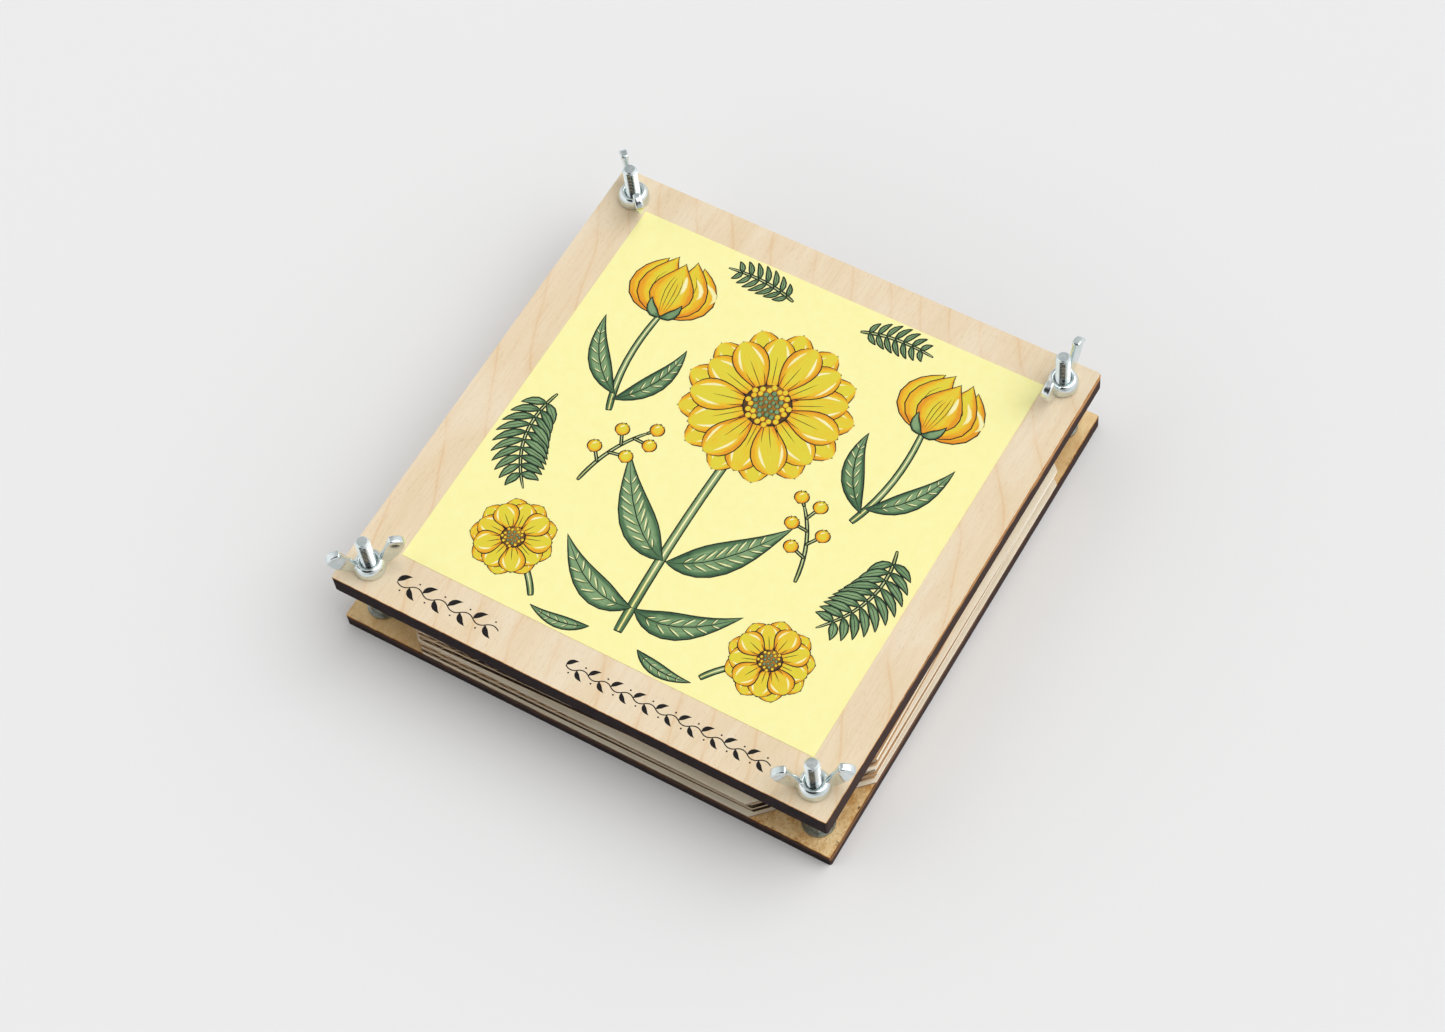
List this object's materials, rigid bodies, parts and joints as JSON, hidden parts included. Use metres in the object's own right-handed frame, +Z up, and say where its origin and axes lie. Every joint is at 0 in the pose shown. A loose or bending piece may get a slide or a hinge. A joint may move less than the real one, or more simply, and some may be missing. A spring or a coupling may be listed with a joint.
{
  "type": "flower press",
  "caption": "Square wooden flower press that clamps blotting papers and corrugated cards between two boards with bolts and wing nuts at its corners.",
  "frame": {"origin": "centre of the base board's underside, on the surface that the press lies on", "axes": "+Z up through the stack, +X along the front side to the right, +Y to the back side"},
  "size_m": [0.1835, 0.1847, 0.0464],
  "materials": {
    "birch": "sanded, uncoated",
    "print": "matt print",
    "zinc": "bright zinc plating",
    "paper": "blotting paper",
    "card": "brown kraft"
  },
  "bodies": {
    "base": {"base_board": "birch", "bolt_front_left": "zinc", "bolt_front_right": "zinc", "bolt_back_right": "zinc", "bolt_back_left": "zinc", "clamp_washer_front_left": "zinc", "clamp_washer_front_right": "zinc", "clamp_washer_back_right": "zinc", "clamp_washer_back_left": "zinc", "clamp_nut_front_left": "zinc", "clamp_nut_front_right": "zinc", "clamp_nut_back_right": "zinc", "clamp_nut_back_left": "zinc"},
    "press": {"press_board": "birch", "printed_panel": "print"},
    "wing_nut_front_left": {"wing_nut_front_left": "zinc"},
    "wing_nut_front_right": {"wing_nut_front_right": "zinc"},
    "wing_nut_back_right": {"wing_nut_back_right": "zinc"},
    "wing_nut_back_left": {"wing_nut_back_left": "zinc"},
    "blotting_paper_1": {"blotting_paper_1": "paper"},
    "corrugated_card_1": {"corrugated_card_1": "card"},
    "blotting_paper_2": {"blotting_paper_2": "paper"},
    "blotting_paper_3": {"blotting_paper_3": "paper"},
    "corrugated_card_2": {"corrugated_card_2": "card"},
    "blotting_paper_4": {"blotting_paper_4": "paper"},
    "blotting_paper_5": {"blotting_paper_5": "paper"},
    "corrugated_card_3": {"corrugated_card_3": "card"},
    "blotting_paper_6": {"blotting_paper_6": "paper"},
    "blotting_paper_7": {"blotting_paper_7": "paper"},
    "corrugated_card_4": {"corrugated_card_4": "card"},
    "blotting_paper_8": {"blotting_paper_8": "paper"}
  },
  "joints": [
    {"name": "lift_press_board", "type": "slide", "parent": "base", "child": "press", "axis": [0, 0, 1], "range_m": [0, 0.0112]},
    {"name": "turn_wing_nut_front_left", "type": "hinge", "parent": "press", "child": "wing_nut_front_left", "pos_m": [-0.08075, -0.08075, 0.0304], "axis": [0, 0, 1], "range_deg": [0, 5100]},
    {"name": "turn_wing_nut_front_right", "type": "hinge", "parent": "press", "child": "wing_nut_front_right", "pos_m": [0.08075, -0.08075, 0.0304], "axis": [0, 0, 1], "range_deg": [0, 5100]},
    {"name": "turn_wing_nut_back_right", "type": "hinge", "parent": "press", "child": "wing_nut_back_right", "pos_m": [0.08075, 0.08075, 0.0304], "axis": [0, 0, 1], "range_deg": [0, 5100]},
    {"name": "turn_wing_nut_back_left", "type": "hinge", "parent": "press", "child": "wing_nut_back_left", "pos_m": [-0.08075, 0.08075, 0.0304], "axis": [0, 0, 1], "range_deg": [0, 5100]},
    {"name": "loosen_blotting_paper_1", "type": "slide", "parent": "base", "child": "blotting_paper_1", "axis": [0, 0, 1], "range_m": [0, 0.00106]},
    {"name": "loosen_corrugated_card_1", "type": "slide", "parent": "base", "child": "corrugated_card_1", "axis": [0, 0, 1], "range_m": [0, 0.00192]},
    {"name": "loosen_blotting_paper_2", "type": "slide", "parent": "base", "child": "blotting_paper_2", "axis": [0, 0, 1], "range_m": [0, 0.00279]},
    {"name": "loosen_blotting_paper_3", "type": "slide", "parent": "base", "child": "blotting_paper_3", "axis": [0, 0, 1], "range_m": [0, 0.00365]},
    {"name": "loosen_corrugated_card_2", "type": "slide", "parent": "base", "child": "corrugated_card_2", "axis": [0, 0, 1], "range_m": [0, 0.00451]},
    {"name": "loosen_blotting_paper_4", "type": "slide", "parent": "base", "child": "blotting_paper_4", "axis": [0, 0, 1], "range_m": [0, 0.00537]},
    {"name": "loosen_blotting_paper_5", "type": "slide", "parent": "base", "child": "blotting_paper_5", "axis": [0, 0, 1], "range_m": [0, 0.00623]},
    {"name": "loosen_corrugated_card_3", "type": "slide", "parent": "base", "child": "corrugated_card_3", "axis": [0, 0, 1], "range_m": [0, 0.00709]},
    {"name": "loosen_blotting_paper_6", "type": "slide", "parent": "base", "child": "blotting_paper_6", "axis": [0, 0, 1], "range_m": [0, 0.00795]},
    {"name": "loosen_blotting_paper_7", "type": "slide", "parent": "base", "child": "blotting_paper_7", "axis": [0, 0, 1], "range_m": [0, 0.00881]},
    {"name": "loosen_corrugated_card_4", "type": "slide", "parent": "base", "child": "corrugated_card_4", "axis": [0, 0, 1], "range_m": [0, 0.00968]},
    {"name": "loosen_blotting_paper_8", "type": "slide", "parent": "base", "child": "blotting_paper_8", "axis": [0, 0, 1], "range_m": [0, 0.01054]}
  ],
  "couplings": [
    {"joint": "turn_wing_nut_front_left", "follows": "lift_press_board", "rad_per_m": 7854},
    {"joint": "turn_wing_nut_front_right", "follows": "lift_press_board", "rad_per_m": 7854},
    {"joint": "turn_wing_nut_back_right", "follows": "lift_press_board", "rad_per_m": 7854},
    {"joint": "turn_wing_nut_back_left", "follows": "lift_press_board", "rad_per_m": 7854},
    {"joint": "loosen_blotting_paper_1", "follows": "lift_press_board", "ratio": 0.076923},
    {"joint": "loosen_corrugated_card_1", "follows": "lift_press_board", "ratio": 0.15385},
    {"joint": "loosen_blotting_paper_2", "follows": "lift_press_board", "ratio": 0.23077},
    {"joint": "loosen_blotting_paper_3", "follows": "lift_press_board", "ratio": 0.30769},
    {"joint": "loosen_corrugated_card_2", "follows": "lift_press_board", "ratio": 0.38462},
    {"joint": "loosen_blotting_paper_4", "follows": "lift_press_board", "ratio": 0.46154},
    {"joint": "loosen_blotting_paper_5", "follows": "lift_press_board", "ratio": 0.53846},
    {"joint": "loosen_corrugated_card_3", "follows": "lift_press_board", "ratio": 0.61538},
    {"joint": "loosen_blotting_paper_6", "follows": "lift_press_board", "ratio": 0.69231},
    {"joint": "loosen_blotting_paper_7", "follows": "lift_press_board", "ratio": 0.76923},
    {"joint": "loosen_corrugated_card_4", "follows": "lift_press_board", "ratio": 0.84615},
    {"joint": "loosen_blotting_paper_8", "follows": "lift_press_board", "ratio": 0.92308}
  ]
}
